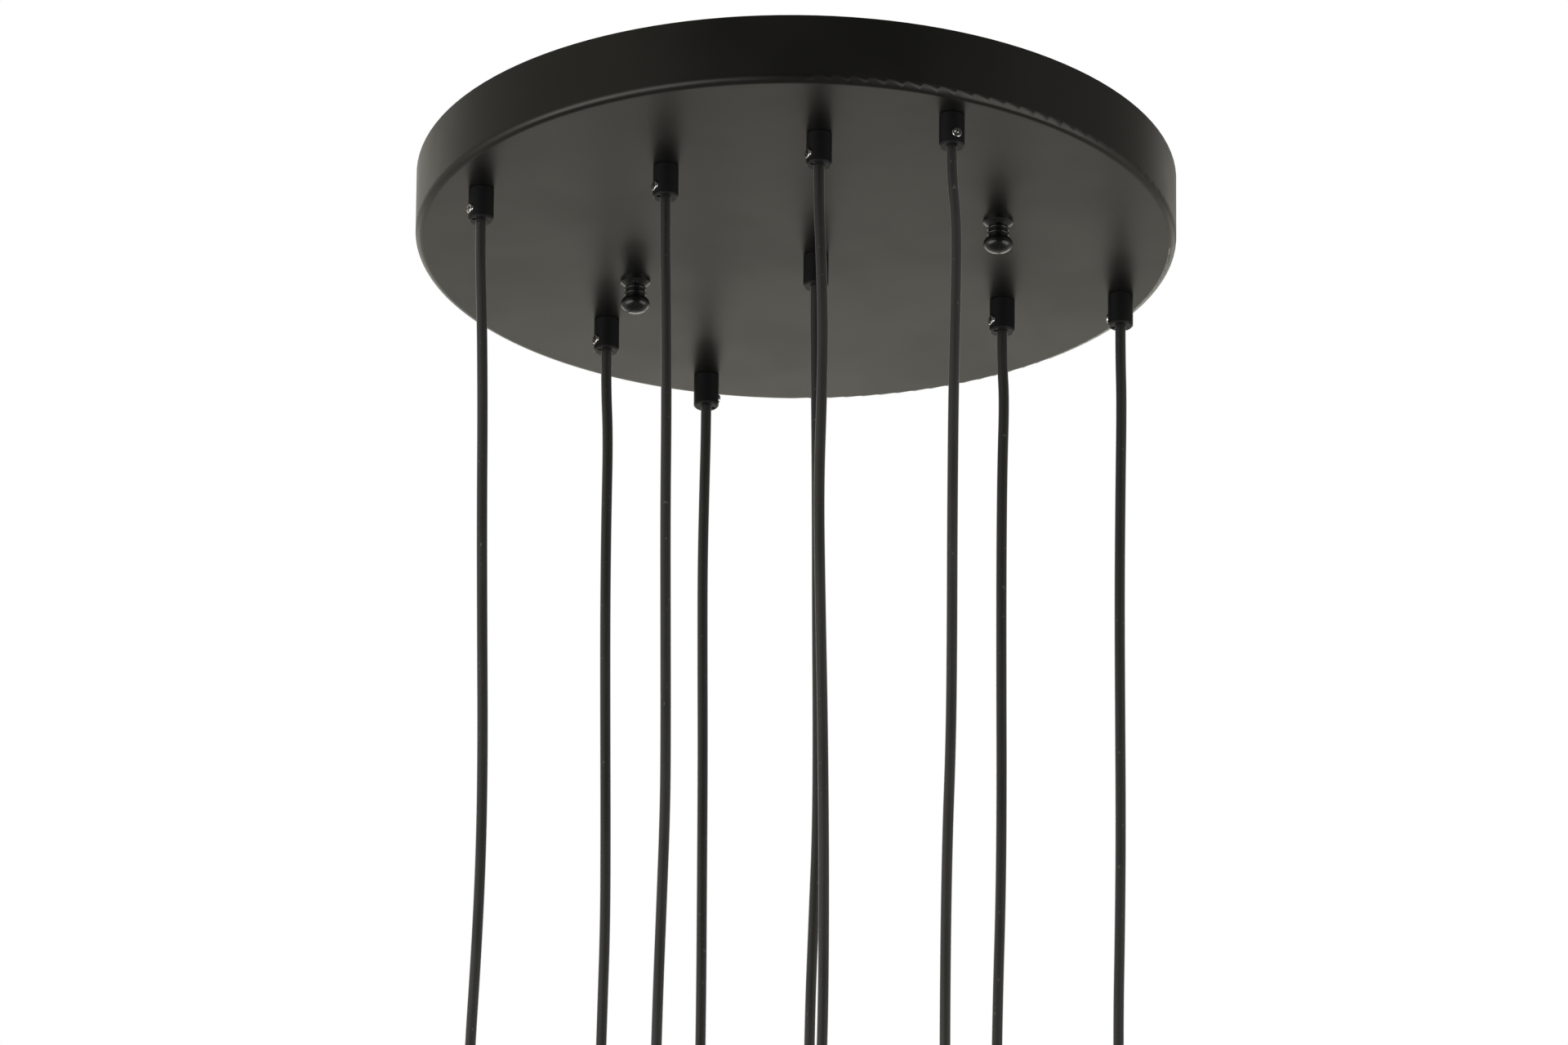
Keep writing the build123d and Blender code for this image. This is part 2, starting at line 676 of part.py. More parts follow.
def bulb(x, y, top):
    """A screw cap, closed at its contact, and a blown glass globe with a short neck."""
    cap_top = top - nipple_height - cover_length - skirt_height + socket_depth
    neck_top = cap_top - bulb_cap_length
    globe_z = cap_top - bulb_length + bulb_globe_diameter / 2
    with BuildPart() as lamp:
        with BuildSketch(upright(x, y, globe_z)) as glass:
            Circle(bulb_globe_diameter / 2)
            Rectangle(
                bulb_neck_diameter,
                neck_top - globe_z + bulb_glass,
                align=(Align.CENTER, Align.MIN),
            )
            fillet(glass.vertices().group_by(Axis.Y)[0], bulb_neck_blend)
            offset(amount=-bulb_glass, mode=Mode.SUBTRACT)
            with Locations((0, neck_top - globe_z)):
                Rectangle(
                    bulb_globe_diameter,
                    2 * bulb_glass,
                    align=(Align.CENTER, Align.MIN),
                    mode=Mode.SUBTRACT,
                )
            Rectangle(
                bulb_globe_diameter,
                2 * bulb_length,
                align=(Align.MIN, Align.CENTER),
                mode=Mode.INTERSECT,
            )
        revolve(axis=plumb(x, y))
    with BuildPart() as cap:
        with BuildSketch(level(x, y, cap_top)):
            Circle(bulb_cap_diameter / 2)
        extrude(amount=-bulb_cap_length)
        fillet(cap.edges().group_by(Axis.Z)[-1], bulb_cap_edge)
        with BuildSketch(level(x, y, neck_top)):
            Circle(bulb_cap_diameter / 2 - bulb_cap_wall)
        extrude(amount=bulb_cap_length - bulb_cap_end, mode=Mode.SUBTRACT)
    return Compound(children=[*lamp.part.solids(), *cap.part.solids()])


for number, p in pendants.items():
    route = [(p["x"] + dx, p["y"] + dy, mouth_z - depth) for dx, dy, depth in p["route"]]
    radii = bend_radii(route)
    part, length = tube(route, radii, cord_radius)
    section = pi * cord_radius**2
    print(
        f"cord_{number}: {length:.1f} long, volume over section {part.volume / section:.1f},",
        f"radii {min(radii):.0f} to {max(radii):.0f}",
    )
    save(part, f"cord_{number}")
    x, y, top = route[-1]
    save(socket_cover(x, y, top), f"socket_cover_{number}")
    save(lampholder(x, y, top), f"lampholder_{number}")
    save(bulb(x, y, top), f"bulb_{number}")
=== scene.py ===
import bpy
import bmesh
import json
from math import cos, degrees, pi, radians, sin, sqrt
from mathutils import Matrix, Vector


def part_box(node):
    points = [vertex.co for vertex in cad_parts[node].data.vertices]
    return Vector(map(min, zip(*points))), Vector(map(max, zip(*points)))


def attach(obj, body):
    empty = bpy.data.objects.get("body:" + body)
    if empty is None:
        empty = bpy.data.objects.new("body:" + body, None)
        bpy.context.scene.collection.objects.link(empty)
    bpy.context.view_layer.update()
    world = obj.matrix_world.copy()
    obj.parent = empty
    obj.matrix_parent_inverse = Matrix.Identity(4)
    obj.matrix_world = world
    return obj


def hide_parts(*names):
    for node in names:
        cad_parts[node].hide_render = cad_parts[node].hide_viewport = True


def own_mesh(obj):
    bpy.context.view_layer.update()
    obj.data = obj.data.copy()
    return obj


# Cluster pendant: the looks of a round ceiling pan with nine corded lamp heads, in metres

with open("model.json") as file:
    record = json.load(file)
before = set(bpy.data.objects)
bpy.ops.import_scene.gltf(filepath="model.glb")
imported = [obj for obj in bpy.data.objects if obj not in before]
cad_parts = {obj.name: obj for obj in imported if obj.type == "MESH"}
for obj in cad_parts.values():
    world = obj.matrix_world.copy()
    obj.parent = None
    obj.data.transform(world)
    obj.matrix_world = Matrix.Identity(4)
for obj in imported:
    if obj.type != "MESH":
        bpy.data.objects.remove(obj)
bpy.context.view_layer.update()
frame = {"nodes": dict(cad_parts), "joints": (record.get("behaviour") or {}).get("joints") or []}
nodes = frame["nodes"]
pendantNumbers = range(1, 10)
print("frame loaded:", len(nodes), "nodes")

# The camera stands well below the pan, in front of it, with a long lens
camera = dict(place=(-0.00557, -8.76189, -4.11036), tilt=113.929, roll=0.5, lens=375,
              sensor=36, reach=400)


def makeCamera():
    data = bpy.data.cameras.new("camera")
    data.lens = camera["lens"]
    data.sensor_width = camera["sensor"]
    data.clip_end = camera["reach"]
    holder = bpy.data.objects.new("camera", data)
    bpy.context.collection.objects.link(holder)
    holder.matrix_world = (
        Matrix.Translation(camera["place"])
        @ Matrix.Rotation(radians(camera["tilt"]), 4, "X")
        @ Matrix.Rotation(radians(camera["roll"]), 4, "Z")
    )
    bpy.context.scene.camera = holder


makeCamera()
print("camera set")


# Node trees: Signal is one socket of a tree, with ordinary maths on it
class Signal:
    def __init__(self, recipe, socket):
        self.recipe = recipe
        self.socket = socket

    def maths(self, operation, first, second):
        return self.recipe.node("ShaderNodeMath", {"operation": operation}, {0: first, 1: second})

    def __add__(self, other):
        return self.maths("ADD", self, other)

    def __radd__(self, other):
        return self.maths("ADD", other, self)

    def __sub__(self, other):
        return self.maths("SUBTRACT", self, other)

    def __rsub__(self, other):
        return self.maths("SUBTRACT", other, self)

    def __mul__(self, other):
        return self.maths("MULTIPLY", self, other)

    def __rmul__(self, other):
        return self.maths("MULTIPLY", other, self)

    def __truediv__(self, other):
        return self.maths("DIVIDE", self, other)

    def __rtruediv__(self, other):
        return self.maths("DIVIDE", other, self)


class Recipe:
    def __init__(self, tree):
        self.tree = tree

    def node(self, kind, settings, sockets, out=0):
        made = self.tree.nodes.new(kind)
        for name, value in settings.items():
            setattr(made, name, value)
        for name, value in sockets.items():
            self.feed(made.inputs[name], value)
        return Signal(self, made.outputs[out])

    def feed(self, socket, value):
        if isinstance(value, Signal):
            self.tree.links.new(value.socket, socket)
        elif socket.type == "RGBA":
            socket.default_value = (*value, 1)
        else:
            socket.default_value = value

    def place(self, stretch):
        where = self.node("ShaderNodeTexCoord", {}, {}, "Object")
        return self.node("ShaderNodeVectorMath", {"operation": "MULTIPLY"}, {0: where, 1: stretch})

    def cloud(self, size, stretch=(1, 1, 1), detail=2, rough=0.5):
        return self.node(
            "ShaderNodeTexNoise",
            {"noise_dimensions": "3D"},
            {"Vector": self.place(stretch), "Scale": 1 / size, "Detail": detail, "Roughness": rough},
            "Fac",
        )

    def between(self, amount, low, high):
        return self.node(
            "ShaderNodeMix",
            {"data_type": "RGBA"},
            {mixSockets["amount"]: amount, mixSockets["low"]: low, mixSockets["high"]: high},
            mixSockets["out"],
        )

    def rise(self, value, start, end, low=0.0, high=1.0):
        return self.node(
            "ShaderNodeMapRange",
            {"interpolation_type": "SMOOTHSTEP"},
            {"Value": value, "From Min": start, "From Max": end, "To Min": low, "To Max": high},
            "Result",
        )

    def bump(self, height, depth):
        return self.node("ShaderNodeBump", {}, {"Height": height, "Distance": depth})


# The mix node has sockets of several kinds under one name, so its colours go by number
mixSockets = dict(amount=0, low=6, high=7, out=2)


def newMaterial(name, fixed):
    material = bpy.data.materials.new(name)
    material.use_nodes = True
    shader = material.node_tree.nodes["Principled BSDF"]
    recipe = Recipe(material.node_tree)
    for socket, value in fixed.items():
        recipe.feed(shader.inputs[socket], value)
    return material, recipe, shader.inputs


# Finishes: colours are linear, sizes are metres, and most of a noise lies in these spans
cloudSpan = (0.3, 0.7)
grainSpan = (0.25, 0.75)

paint = dict(dark=(0.0054, 0.0052, 0.0046), light=(0.0070, 0.0068, 0.0060), patch=0.07,
             peel=0.0011, peelDepth=0.00002, peelGloss=0.04, smooth=0.33, dull=0.40,
             specular=0.5, tint=(1.0, 0.98, 0.90))


def satinPaint():
    material, recipe, shader = newMaterial(
        "satinPaint", {"Specular IOR Level": paint["specular"], "Specular Tint": paint["tint"]}
    )
    patches = recipe.cloud(paint["patch"])
    recipe.feed(shader["Base Color"], recipe.between(patches, paint["dark"], paint["light"]))
    grain = recipe.cloud(paint["peel"], detail=3)
    gloss = recipe.rise(patches, *cloudSpan, paint["smooth"], paint["dull"])
    recipe.feed(shader["Roughness"], gloss + (grain - 0.5) * paint["peelGloss"])
    recipe.feed(shader["Normal"], recipe.bump(grain, paint["peelDepth"]))
    return material


plastic = dict(dark=(0.0066, 0.0066, 0.0069), light=(0.0094, 0.0094, 0.0098), grain=0.0005,
               grainDepth=0.000012, flow=0.012, flowStretch=(1, 1, 0.3), smooth=0.42, dull=0.54,
               specular=0.26)


def mouldedPlastic():
    material, recipe, shader = newMaterial(
        "mouldedPlastic", {"Specular IOR Level": plastic["specular"]}
    )
    grain = recipe.cloud(plastic["grain"])
    flow = recipe.cloud(plastic["flow"], plastic["flowStretch"])
    recipe.feed(shader["Base Color"], recipe.between(flow, plastic["dark"], plastic["light"]))
    recipe.feed(shader["Roughness"], recipe.rise(grain, *grainSpan, plastic["smooth"], plastic["dull"]))
    recipe.feed(shader["Normal"], recipe.bump(grain, plastic["grainDepth"]))
    return material


# The sheath's lines run along the cord, with pale specks and slow waves of gloss
sheath = dict(dark=(0.0135, 0.0127, 0.0116), light=(0.0255, 0.0240, 0.0220), line=0.0016,
              lineStretch=(1, 1, 0.02), lineDepth=0.00002, lineGloss=0.08, wave=0.03,
              waveStretch=(1, 1, 0.6), smooth=0.42, dull=0.54, speck=0.0022,
              speckSpan=(0.80, 0.84), speckShare=0.5, speckColour=(0.12, 0.115, 0.105),
              specular=0.9, sheen=0.7, sheenRoughness=0.3)


def cordSheath():
    material, recipe, shader = newMaterial("cordSheath", {
        "Specular IOR Level": sheath["specular"],
        "Sheen Weight": sheath["sheen"],
        "Sheen Roughness": sheath["sheenRoughness"],
    })
    lines = recipe.cloud(sheath["line"], sheath["lineStretch"])
    waves = recipe.cloud(sheath["wave"], sheath["waveStretch"])
    specks = recipe.rise(recipe.cloud(sheath["speck"], detail=0), *sheath["speckSpan"])
    colour = recipe.between(lines, sheath["dark"], sheath["light"])
    speckled = recipe.between(specks * sheath["speckShare"], colour, sheath["speckColour"])
    recipe.feed(shader["Base Color"], speckled)
    gloss = recipe.rise(waves, *cloudSpan, sheath["smooth"], sheath["dull"])
    recipe.feed(shader["Roughness"], gloss + (lines - 0.5) * sheath["lineGloss"])
    recipe.feed(shader["Normal"], recipe.bump(lines, sheath["lineDepth"]))
    return material


lacquer = dict(dark=(0.004, 0.004, 0.004), light=(0.0072, 0.0071, 0.0068), haze=0.004,
               hazeStretch=(1, 1, 2), smooth=0.22, dull=0.30, specular=0.6)


def blackLacquer():
    material, recipe, shader = newMaterial(
        "blackLacquer", {"Specular IOR Level": lacquer["specular"]}
    )
    haze = recipe.cloud(lacquer["haze"], lacquer["hazeStretch"])
    recipe.feed(shader["Base Color"], recipe.between(haze, lacquer["dark"], lacquer["light"]))
    recipe.feed(shader["Roughness"], recipe.rise(haze, *cloudSpan, lacquer["smooth"], lacquer["dull"]))
    return material


platings = dict(
    brightNickel=dict(dark=(0.66, 0.65, 0.63), light=(0.78, 0.775, 0.76), smooth=0.10,
                      dull=0.20, spangle=0.0006),
    zincPlate=dict(dark=(0.46, 0.47, 0.48), light=(0.60, 0.61, 0.61), smooth=0.30,
                   dull=0.46, spangle=0.0025),
)
platingRelief = dict(depth=0.000004, filmPerSpangle=9)


def platedMetal(name):
    plating = platings[name]
    material, recipe, shader = newMaterial(name, {"Metallic": 1.0})
    grains = recipe.cloud(plating["spangle"], detail=4, rough=0.6)
    film = recipe.cloud(plating["spangle"] * platingRelief["filmPerSpangle"])
    recipe.feed(shader["Base Color"], recipe.between(film, plating["dark"], plating["light"]))
    recipe.feed(shader["Roughness"], recipe.rise(grains, *grainSpan, plating["smooth"], plating["dull"]))
    recipe.feed(shader["Normal"], recipe.bump(grains, platingRelief["depth"]))
    return material


mouldings = dict(
    phenolic=dict(dark=(0.008, 0.0078, 0.0075), light=(0.013, 0.0125, 0.012), smooth=0.20,
                  dull=0.32, cell=0.0007),
    nylon=dict(dark=(0.72, 0.70, 0.63), light=(0.80, 0.785, 0.72), smooth=0.40, dull=0.55,
               cell=0.0006),
    earthInsulation=dict(dark=(0.10, 0.30, 0.03), light=(0.16, 0.42, 0.05), smooth=0.35,
                         dull=0.45, cell=0.0007),
    filamentCoating=dict(dark=(0.62, 0.36, 0.05), light=(0.75, 0.47, 0.09), smooth=0.5,
                         dull=0.7, cell=0.0006),
)
mouldingRelief = dict(depth=0.00001, cloudPerCell=14, specular=0.5)


def plainMoulding(name):
    moulding = mouldings[name]
    material, recipe, shader = newMaterial(
        name, {"Specular IOR Level": mouldingRelief["specular"]}
    )
    cells = recipe.cloud(moulding["cell"], detail=3)
    cloudy = recipe.cloud(moulding["cell"] * mouldingRelief["cloudPerCell"])
    recipe.feed(shader["Base Color"], recipe.between(cloudy, moulding["dark"], moulding["light"]))
    recipe.feed(shader["Roughness"], recipe.rise(cells, *grainSpan, moulding["smooth"], moulding["dull"]))
    recipe.feed(shader["Normal"], recipe.bump(cells, mouldingRelief["depth"]))
    return material


glass = dict(clear=(0.955, 0.957, 0.950), dusty=(0.940, 0.943, 0.934), film=0.03,
             filmSpan=(0.55, 0.8), index=1.47, dull=0.03)


def blownGlass():
    material, recipe, shader = newMaterial(
        "blownGlass", {"Transmission Weight": 1.0, "IOR": glass["index"]}
    )
    film = recipe.cloud(glass["film"])
    recipe.feed(shader["Base Color"], recipe.between(film, glass["dusty"], glass["clear"]))
    recipe.feed(shader["Roughness"], recipe.rise(film, *glass["filmSpan"], 0.0, glass["dull"]))
    return material


finishes = dict(
    paint=satinPaint(),
    plastic=mouldedPlastic(),
    sheath=cordSheath(),
    lacquer=blackLacquer(),
    glass=blownGlass(),
    coating=plainMoulding("filamentCoating"),
    nickel=platedMetal("brightNickel"),
    zinc=platedMetal("zincPlate"),
    phenolic=plainMoulding("phenolic"),
    nylon=plainMoulding("nylon"),
    earth=plainMoulding("earthInsulation"),
)
print("finishes made:", len(finishes))

nodeFinishes = dict(
    canopy_pan="paint", mounting_bracket="zinc", mounting_studs="zinc", stud_nuts="zinc",
    finial_left="lacquer", finial_right="lacquer", grip_locknuts="zinc", set_screws="nickel",
    terminal_block="nylon", terminal_screws="nickel", block_screws="nickel",
    cord_tails="sheath", earth_wire="earth", earth_screws="zinc",
)
for number in pendantNumbers:
    nodeFinishes[f"grip_{number}"] = "plastic"
    nodeFinishes[f"socket_cover_{number}"] = "paint"


def dress(piece, finish):
    piece.data.materials.clear()
    piece.data.materials.append(finishes[finish])


for node, finish in nodeFinishes.items():
    dress(nodes[node], finish)
print("frame dressed:", len(nodeFinishes), "nodes")


def newPiece(name, mesh, spot, finish, body, node):
    piece = bpy.data.objects.new(name, mesh)
    bpy.context.collection.objects.link(piece)
    piece.location = spot
    if not mesh.materials:
        dress(piece, finish)
    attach(piece, body)
    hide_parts(node)
    return piece


creaseAngle = 35  # degrees, where smooth shading stops


def finishedMesh(name, shape):
    mesh = bpy.data.meshes.new(name)
    shape.to_mesh(mesh)
    shape.free()
    mesh.shade_smooth()
    mesh.set_sharp_from_angle(angle=radians(creaseAngle))
    return mesh


# Cords: each leaves its grip straight down and hangs in a few slow bends to its head. The
# routes are the solids' own points: right, back and down from the mouth of the grip.
cords = dict(radius=0.0031, sides=28, steps=10, splineOrder=3, domeRises=(30, 60))
cordRoutes = {
    1: [(0, 0, 0), (0, 0, 0.024), (0.0016, 0.0004, 0.062), (0.0029, -0.0004, 0.122),
        (0.0035, 0.0005, 0.188), (0.0048, 0.0009, 0.262), (0.0063, 0.0002, 0.336),
        (0.0064, -0.0006, 0.4), (0.0047, -0.0003, 0.462), (0.002, 0.0002, 0.52),
        (0.0012, 0.0002, 0.554), (0.0012, 0.0002, 0.578)],
    2: [(0, 0, 0), (0, 0, 0.026), (0.0011, 0.0005, 0.07), (0.002, 0.0003, 0.138),
        (0.0021, -0.0005, 0.2), (0.0029, -0.0007, 0.266), (0.0038, 0.0003, 0.34),
        (0.004, 0.0009, 0.388), (0.0026, 0.0005, 0.446), (0.001, -0.0004, 0.508),
        (-0.0002, -0.0008, 0.59), (0.0003, -0.0001, 0.664), (0.0006, 0, 0.697),
        (0.0006, 0, 0.722)],
    3: [(0, 0, 0), (0, 0, 0.022), (0.0015, -0.0003, 0.054), (0.0032, 0.0004, 0.104),
        (0.0026, 0.0008, 0.15), (0.0013, 0.0002, 0.206), (0.0027, -0.0006, 0.276),
        (0.0048, -0.0004, 0.36), (0.006, 0.0004, 0.446), (0.0062, 0.0008, 0.526),
        (0.0049, 0.0003, 0.586), (0.0039, 0, 0.626), (0.0039, 0, 0.648)],
    4: [(0, 0, 0), (0, 0, 0.018), (0.0029, 0.0003, 0.046), (0.003, 0.0002, 0.082),
        (0.0016, -0.0005, 0.15), (0.0012, -0.0002, 0.236), (0.0013, 0.0006, 0.316),
        (0.0009, 0.0004, 0.376), (-0.001, -0.0003, 0.44), (-0.0018, -0.0006, 0.52),
        (-0.0017, 0.0002, 0.612), (-0.0006, 0.0006, 0.7), (0.0002, 0.0001, 0.762),
        (0.0002, 0.0001, 0.798)],
    5: [(0, 0, 0), (0, 0, 0.022), (0.0017, 0.0004, 0.056), (0.0013, -0.0003, 0.108),
        (0.0014, -0.0006, 0.166), (0.0022, 0.0002, 0.232), (0.0034, 0.0006, 0.312),
        (0.0039, 0.0002, 0.372), (0.0029, -0.0005, 0.424), (0.0016, -0.0004, 0.5),
        (0.0006, 0.0003, 0.576), (0.0002, 0.0001, 0.638), (0.0002, 0.0001, 0.668)],
    6: [(0, 0, 0), (0, 0, 0.02), (-0.0005, 0.0003, 0.052), (-0.0011, 0.0005, 0.104),
        (-0.0006, -0.0004, 0.16), (0.0003, -0.0006, 0.232), (0.0006, 0.0003, 0.31),
        (0.0009, 0.0006, 0.388), (0.0005, 0.0001, 0.456), (0.0001, -0.0002, 0.51),
        (0.0001, -0.0002, 0.538)],
    7: [(0, 0, 0), (0, 0, 0.026), (0.0008, -0.0004, 0.072), (0.0017, -0.0002, 0.138),
        (0.0023, 0.0006, 0.212), (0.0033, 0.0007, 0.284), (0.0034, -0.0002, 0.35),
        (0.0016, -0.0008, 0.408), (-0.0002, -0.0003, 0.47), (-0.0004, 0.0006, 0.552),
        (0.0005, 0.0008, 0.636), (0.0006, -0.0002, 0.716), (-0.0001, -0.0004, 0.786),
        (-0.0001, -0.0004, 0.828)],
    8: [(0, 0, 0), (0, 0, 0.02), (0.0014, 0.0003, 0.044), (0.0003, -0.0002, 0.088),
        (-0.0001, -0.0006, 0.148), (0.0001, 0.0003, 0.226), (0.0005, 0.0006, 0.3),
        (0.0001, -0.0001, 0.366), (-0.0015, -0.0007, 0.43), (-0.0023, -0.0002, 0.5),
        (-0.0013, 0.0005, 0.576), (0.0001, 0.0004, 0.65), (0.0004, 0, 0.706),
        (0.0004, 0, 0.738)],
    9: [(0, 0, 0), (0, 0, 0.02), (0.0007, 0.0003, 0.05), (-0.0001, -0.0004, 0.11),
        (-0.0006, -0.0005, 0.176), (-0.0003, 0.0004, 0.248), (0.0001, 0.0007, 0.322),
        (-0.0004, 0.0001, 0.386), (-0.0014, -0.0005, 0.444), (-0.0012, -0.0002, 0.5),
        (-0.0008, 0.0001, 0.532), (-0.0008, 0.0001, 0.558)],
}
joints = {joint["name"]: joint for joint in frame["joints"]}


def cordPath(points):
    curve = bpy.data.curves.new("route", "CURVE")
    curve.dimensions = "3D"
    curve.resolution_u = cords["steps"]
    spline = curve.splines.new("NURBS")
    spline.points.add(len(points) - 1)
    for point, spot in zip(spline.points, points):
        point.co = (*spot, 1)
    spline.order_u = cords["splineOrder"]
    spline.use_endpoint_u = True
    holder = bpy.data.objects.new("route", curve)
    bpy.context.collection.objects.link(holder)
    line = bpy.data.meshes.new_from_object(holder)
    path = [vertex.co.copy() for vertex in line.vertices]
    bpy.data.objects.remove(holder)
    bpy.data.meshes.remove(line)
    return path


def ringAlong(shape, centre, direction, radius, sides):
    side = direction.cross(Vector((0, 1, 0))).normalized()
    front = side.cross(direction).normalized()
    return [
        shape.verts.new(centre + radius * (cos(turn) * side + sin(turn) * front))
        for turn in (2 * pi * i / sides for i in range(sides))
    ]


def bridge(shape, first, second):
    count = len(first)
    for i in range(count):
        shape.faces.new((first[i], first[(i + 1) % count], second[(i + 1) % count], second[i]))


def tubeRings(shape, path, radius, sides):
    rings = []
    for i, centre in enumerate(path):
        direction = path[min(i + 1, len(path) - 1)] - path[max(i - 1, 0)]
        rings.append(ringAlong(shape, centre, direction.normalized(), radius, sides))
    return rings


def skin(shape, rings):
    for first, second in zip(rings, rings[1:]):
        bridge(shape, first, second)
    shape.faces.new(reversed(rings[0]))
    shape.faces.new(rings[-1])


def cordMesh(name, path):
    radius = cords["radius"]
    sides = cords["sides"]
    shape = bmesh.new()
    rings = tubeRings(shape, path, radius, sides)
    down = (path[1] - path[0]).normalized()
    for rise in cords["domeRises"]:  # a round end in the grip, so that a swing opens no gap
        back = path[0] - down * radius * sin(radians(rise))
        rings.insert(0, ringAlong(shape, back, down, radius * cos(radians(rise)), sides))
    skin(shape, rings)
    bmesh.ops.recalc_face_normals(shape, faces=shape.faces)
    return finishedMesh(name, shape)


def hangCord(number):
    mouth = Vector(joints[f"swing_{number}"]["pos_m"])
    points = [mouth + Vector((x, y, -depth)) for x, y, depth in cordRoutes[number]]
    path = cordPath(points)
    mesh = cordMesh(f"cordRun{number}", path)
    cord = newPiece(f"cordRun{number}", mesh, (0, 0, 0), "sheath", f"hanging_{number}",
                    f"cord_{number}")
    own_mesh(cord)


for number in pendantNumbers:
    hangCord(number)
print("cords hung")


# Turned shapes: rings of points about an upright axis, with a radius that may vary round them
def turned(name, profile, sides, radiusAt=None):
    shape = bmesh.new()
    rings = []
    for radius, height in profile:
        if radius == 0:
            rings.append([shape.verts.new((0, 0, height))])
            continue
        ring = []
        for i in range(sides):
            turn = 2 * pi * i / sides
            reach = radiusAt(radius, height, turn) if radiusAt else radius
            ring.append(shape.verts.new((reach * cos(turn), reach * sin(turn), height)))
        rings.append(ring)
    for first, second in zip(rings, rings[1:]):
        for i in range(sides):
            j = (i + 1) % sides
            corners = (
                first[i % len(first)], first[j % len(first)],
                second[j % len(second)], second[i % len(second)],
            )
            distinct = list(dict.fromkeys(corners))
            if len(distinct) > 2:
                shape.faces.new(distinct)
    bmesh.ops.recalc_face_normals(shape, faces=shape.faces)
    return finishedMesh(name, shape)


def arc(centre, radius, start, end, steps):
    return [
        (centre[0] + radius * cos(radians(turn)), centre[1] + radius * sin(radians(turn)))
        for turn in (start + (end - start) * i / steps for i in range(steps + 1))
    ]


# Lamp heads, measured down from the face where the cord goes in
head = dict(sides=288, nipple=0.005, nippleRadius=0.005, nippleRows=10, bevel=0.0005,
            threadPitch=0.001, threadDepth=0.00035, cover=0.051, coverGap=0.0012,
            bodyRadius=0.0175, shoulder=0.009, shoulderFrom=80, shoulderSteps=8, skirt=0.006,
            skirtRadius=0.0208, chamfer=0.0003, edge=0.0010, edgeSteps=4, ribs=48,
            ribDepth=0.0005, ribRows=9, rowPitch=0.0004, socketRadius=0.01375,
            socketDepth=0.026)
lamp = dict(sides=96, length=0.104, capRadius=0.0131, capLength=0.024, contactRadius=0.0045,
            contactBevel=0.0007, contactHeight=0.0008, insulatorRadius=0.0095,
            insulatorHeight=0.0022, threadPitch=0.0036, threadDepth=0.0011, threadInset=0.0002,
            threadStart=0.0034, threadRow=0.0003, threadRows=60, plainTop=0.003,
            plainFoot=0.0025, cuff=0.0022, lip=0.0006, dish=0.001, neckRadius=0.0132,
            seam=0.0005, blend=0.022, blendSteps=12, globeRadius=0.030, globeSteps=36,
            globeEnd=-86, wall=0.0009)
stem = dict(sides=40, sunk=0.002, length=0.030, tipRadius=0.00231, tipRise=0.002,
            outline=((0, 0), (0.011, 0), (0.0105, 0.0015), (0.0068, 0.004), (0.0047, 0.009),
                     (0.0042, 0.016), (0.00294, 0.026)))
sticks = dict(count=4, radius=0.0008, length=0.034, spread=0.0105, taper=0.35, rise=0.006,
              inset=0.06, sides=14)
wires = dict(radius=0.00022, sides=8, bow=0.0022, elbow=0.6, overlap=0.07, hub=0.002)
hair = 0.00001  # less than any step of an outline
rim = -head["nipple"] - head["cover"]
skirtEnd = rim - head["skirt"]
capTop = skirtEnd + head["socketDepth"]
neckTop = capTop - lamp["capLength"]
globeCentre = capTop - lamp["length"] + lamp["globeRadius"]
stemFoot = neckTop - stem["sunk"]
stemTip = stemFoot - stem["length"]


def holderMesh():
    nipple = head["nippleRadius"]
    body = head["bodyRadius"]
    wide = head["skirtRadius"]
    bore = head["socketRadius"]
    bevel = head["bevel"]
    edge = head["edge"]
    row = head["rowPitch"]
    seat = -head["nipple"] - head["coverGap"]
    bend = (body - head["shoulder"], seat - head["shoulder"])
    profile = [(0, 0), (nipple - bevel, 0), (nipple, -bevel)]
    profile += [(nipple, -bevel - bevel * i) for i in range(1, head["nippleRows"] + 1)]
    profile += [(nipple, seat), (bend[0], seat)]
    profile += arc(bend, head["shoulder"], head["shoulderFrom"], 0, head["shoulderSteps"])
    profile += [(body, rim + row / 2), (wide - head["chamfer"], rim)]
    profile += [(wide, rim - row), (wide, rim - 2 * row)]
    profile += [(wide - head["ribDepth"], rim - row * (3 + i)) for i in range(head["ribRows"])]
    profile += [(wide, skirtEnd + 0.9 * edge)]
    profile += arc((wide - edge, skirtEnd + edge), edge, 0, -90, head["edgeSteps"])[1:]
    profile += [(bore + bevel, skirtEnd), (bore, skirtEnd + bevel), (bore, capTop), (0, capTop)]

    def reach(radius, height, turn):
        if height > -head["nipple"] and radius > nipple - hair:
            wave = cos(2 * pi * height / head["threadPitch"] - turn)
            return radius - head["threadDepth"] * (0.5 + 0.5 * wave)
        if abs(radius - wide + head["ribDepth"]) < hair:
            return radius + head["ribDepth"] * max(0, cos(head["ribs"] * turn)) ** 0.5
        return radius

    return turned("holder", profile, head["sides"], radiusAt=reach)


def angleOf(across, up):
    return degrees(Vector((across, up)).angle(Vector((1, 0))))


